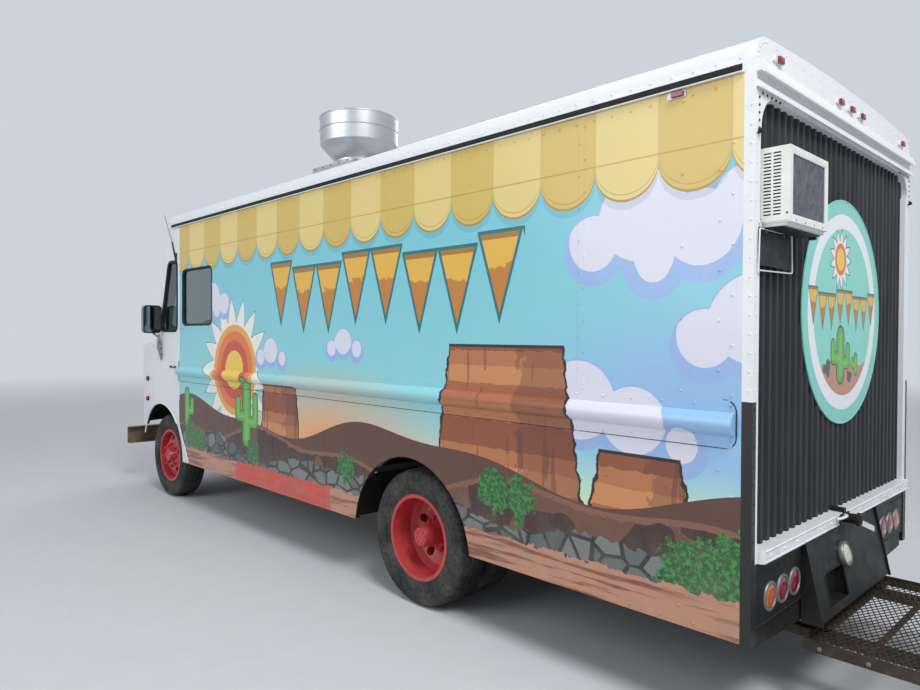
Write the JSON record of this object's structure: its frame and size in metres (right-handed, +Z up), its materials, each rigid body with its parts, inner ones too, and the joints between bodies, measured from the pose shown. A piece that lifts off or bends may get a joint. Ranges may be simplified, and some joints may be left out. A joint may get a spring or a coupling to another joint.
{
  "type": "food truck",
  "caption": "Walk-in van with a riveted box body fitted as a kitchen, with serving hatch, roof exhaust fan, rear deck and twin rear wheels.",
  "frame": {"origin": "centre of the box's base, on the ground", "axes": "+Z up, the nose points to -Y, the driver's left side is +X"},
  "size_m": [2.562, 8, 3.4399],
  "materials": {
    "painted_steel_black": "semi-gloss black",
    "cast_iron": "dusty",
    "body_white": "gloss white paint",
    "body_print": "printed film on riveted sheet",
    "body_liner": "mill",
    "wheel_red": "dusty red enamel",
    "tyre": "dusty",
    "glass": "tinted",
    "aluminium": "spun",
    "stainless": "brushed",
    "lamp_red": "lens",
    "lamp_clear": "lens",
    "black_plastic": "grained",
    "seat_vinyl": "vinyl",
    "case_white": "enamel",
    "sign_face": "satin",
    "galvanised": "weathered"
  },
  "bodies": {
    "root": {"chassis_frame": "painted_steel_black", "engine_block": "cast_iron", "radiator": "cast_iron", "front_axle": "cast_iron", "rear_axle": "cast_iron", "leaf_springs": "cast_iron", "drive_shaft": "cast_iron", "fuel_tank": "painted_steel_black", "exhaust_pipe": "galvanised", "body_floor": "body_liner", "left_wall": "body_print", "right_wall": "body_print", "roof": "body_white", "rear_frame": "body_white", "rear_panel": "painted_steel_black", "lower_rear_panel": "painted_steel_black", "step_box": "painted_steel_black", "rear_deck": "painted_steel_black", "cab_shell": "body_white", "grille": "painted_steel_black", "cab_glass": "glass", "front_bumper": "galvanised", "front_lamps": "lamp_clear", "rear_lamps": "lamp_red", "engine_cover": "black_plastic", "dashboard": "black_plastic", "driver_seat": "seat_vinyl", "mirrors": "body_white", "exhaust_fan": "aluminium", "air_conditioner": "case_white", "rear_sign": "sign_face", "plate_holder": "painted_steel_black", "panel_latch": "painted_steel_black", "kitchen_counters": "stainless", "range_hood": "stainless"},
    "knuckle_left": {"knuckle_left": "cast_iron"},
    "knuckle_right": {"knuckle_right": "cast_iron"},
    "tie_rod": {"tie_rod": "cast_iron"},
    "wheel_front_left": {"front_tyre_left": "tyre", "front_wheel_left": "wheel_red"},
    "wheel_front_right": {"front_tyre_right": "tyre", "front_wheel_right": "wheel_red"},
    "wheel_rear_left": {"rear_tyres_left": "tyre", "rear_wheels_left": "wheel_red"},
    "wheel_rear_right": {"rear_tyres_right": "tyre", "rear_wheels_right": "wheel_red"},
    "steering_wheel": {"steering_wheel": "black_plastic"},
    "hood_lid": {"hood_lid": "body_white"},
    "serving_hatch": {"serving_hatch": "body_print"},
    "serving_shelf": {"serving_shelf": "stainless"},
    "entry_door": {"entry_door": "body_print", "door_glass": "glass"}
  },
  "joints": [
    {"name": "steer_left", "type": "hinge", "parent": "root", "child": "knuckle_left", "pos_m": [0.742, -3.008, 0.4165], "axis": [0, 0, 1], "range_deg": [-32, 32]},
    {"name": "steer_right", "type": "hinge", "parent": "root", "child": "knuckle_right", "pos_m": [-0.742, -3.008, 0.4165], "axis": [0, 0, 1], "range_deg": [-32, 32]},
    {"name": "tie_rod_pivot", "type": "hinge", "parent": "knuckle_left", "child": "tie_rod", "pos_m": [0.742, -2.858, 0.3465], "axis": [0, 0, 1], "range_deg": [-32, 32]},
    {"name": "steering_wheel_turn", "type": "hinge", "parent": "root", "child": "steering_wheel", "pos_m": [0.56, -2.758, 1.64], "axis": [0, 0.7431, 0.6691], "range_deg": [-384, 384]},
    {"name": "hood_lift", "type": "hinge", "parent": "root", "child": "hood_lid", "pos_m": [0, -3.351, 1.582], "axis": [-1, 0, 0], "range_deg": [0, 60]},
    {"name": "hatch_lift", "type": "hinge", "parent": "root", "child": "serving_hatch", "pos_m": [-1.105, 0.112, 2.521], "axis": [0, 1, 0], "range_deg": [0, 95]},
    {"name": "shelf_fold", "type": "hinge", "parent": "root", "child": "serving_shelf", "pos_m": [-1.147, 0.112, 1.531], "axis": [0, 1, 0], "range_deg": [0, 90]},
    {"name": "entry_door_slide", "type": "slide", "parent": "root", "child": "entry_door", "axis": [0, 1, 0], "range_m": [0, 0.63]},
    {"name": "spin_front_left", "type": "hinge", "parent": "knuckle_left", "child": "wheel_front_left", "pos_m": [0.9, -3.008, 0.4165], "axis": [1, 0, 0], "continuous": true},
    {"name": "spin_rear_left", "type": "hinge", "parent": "root", "child": "wheel_rear_left", "pos_m": [0.812, 0.98, 0.4165], "axis": [1, 0, 0], "continuous": true},
    {"name": "spin_front_right", "type": "hinge", "parent": "knuckle_right", "child": "wheel_front_right", "pos_m": [-0.9, -3.008, 0.4165], "axis": [1, 0, 0], "continuous": true},
    {"name": "spin_rear_right", "type": "hinge", "parent": "root", "child": "wheel_rear_right", "pos_m": [-0.812, 0.98, 0.4165], "axis": [1, 0, 0], "continuous": true}
  ],
  "couplings": [
    {"joint": "steer_right", "follows": "steer_left", "ratio": 1},
    {"joint": "tie_rod_pivot", "follows": "steer_left", "ratio": -1},
    {"joint": "steering_wheel_turn", "follows": "steer_left", "ratio": 12}
  ]
}
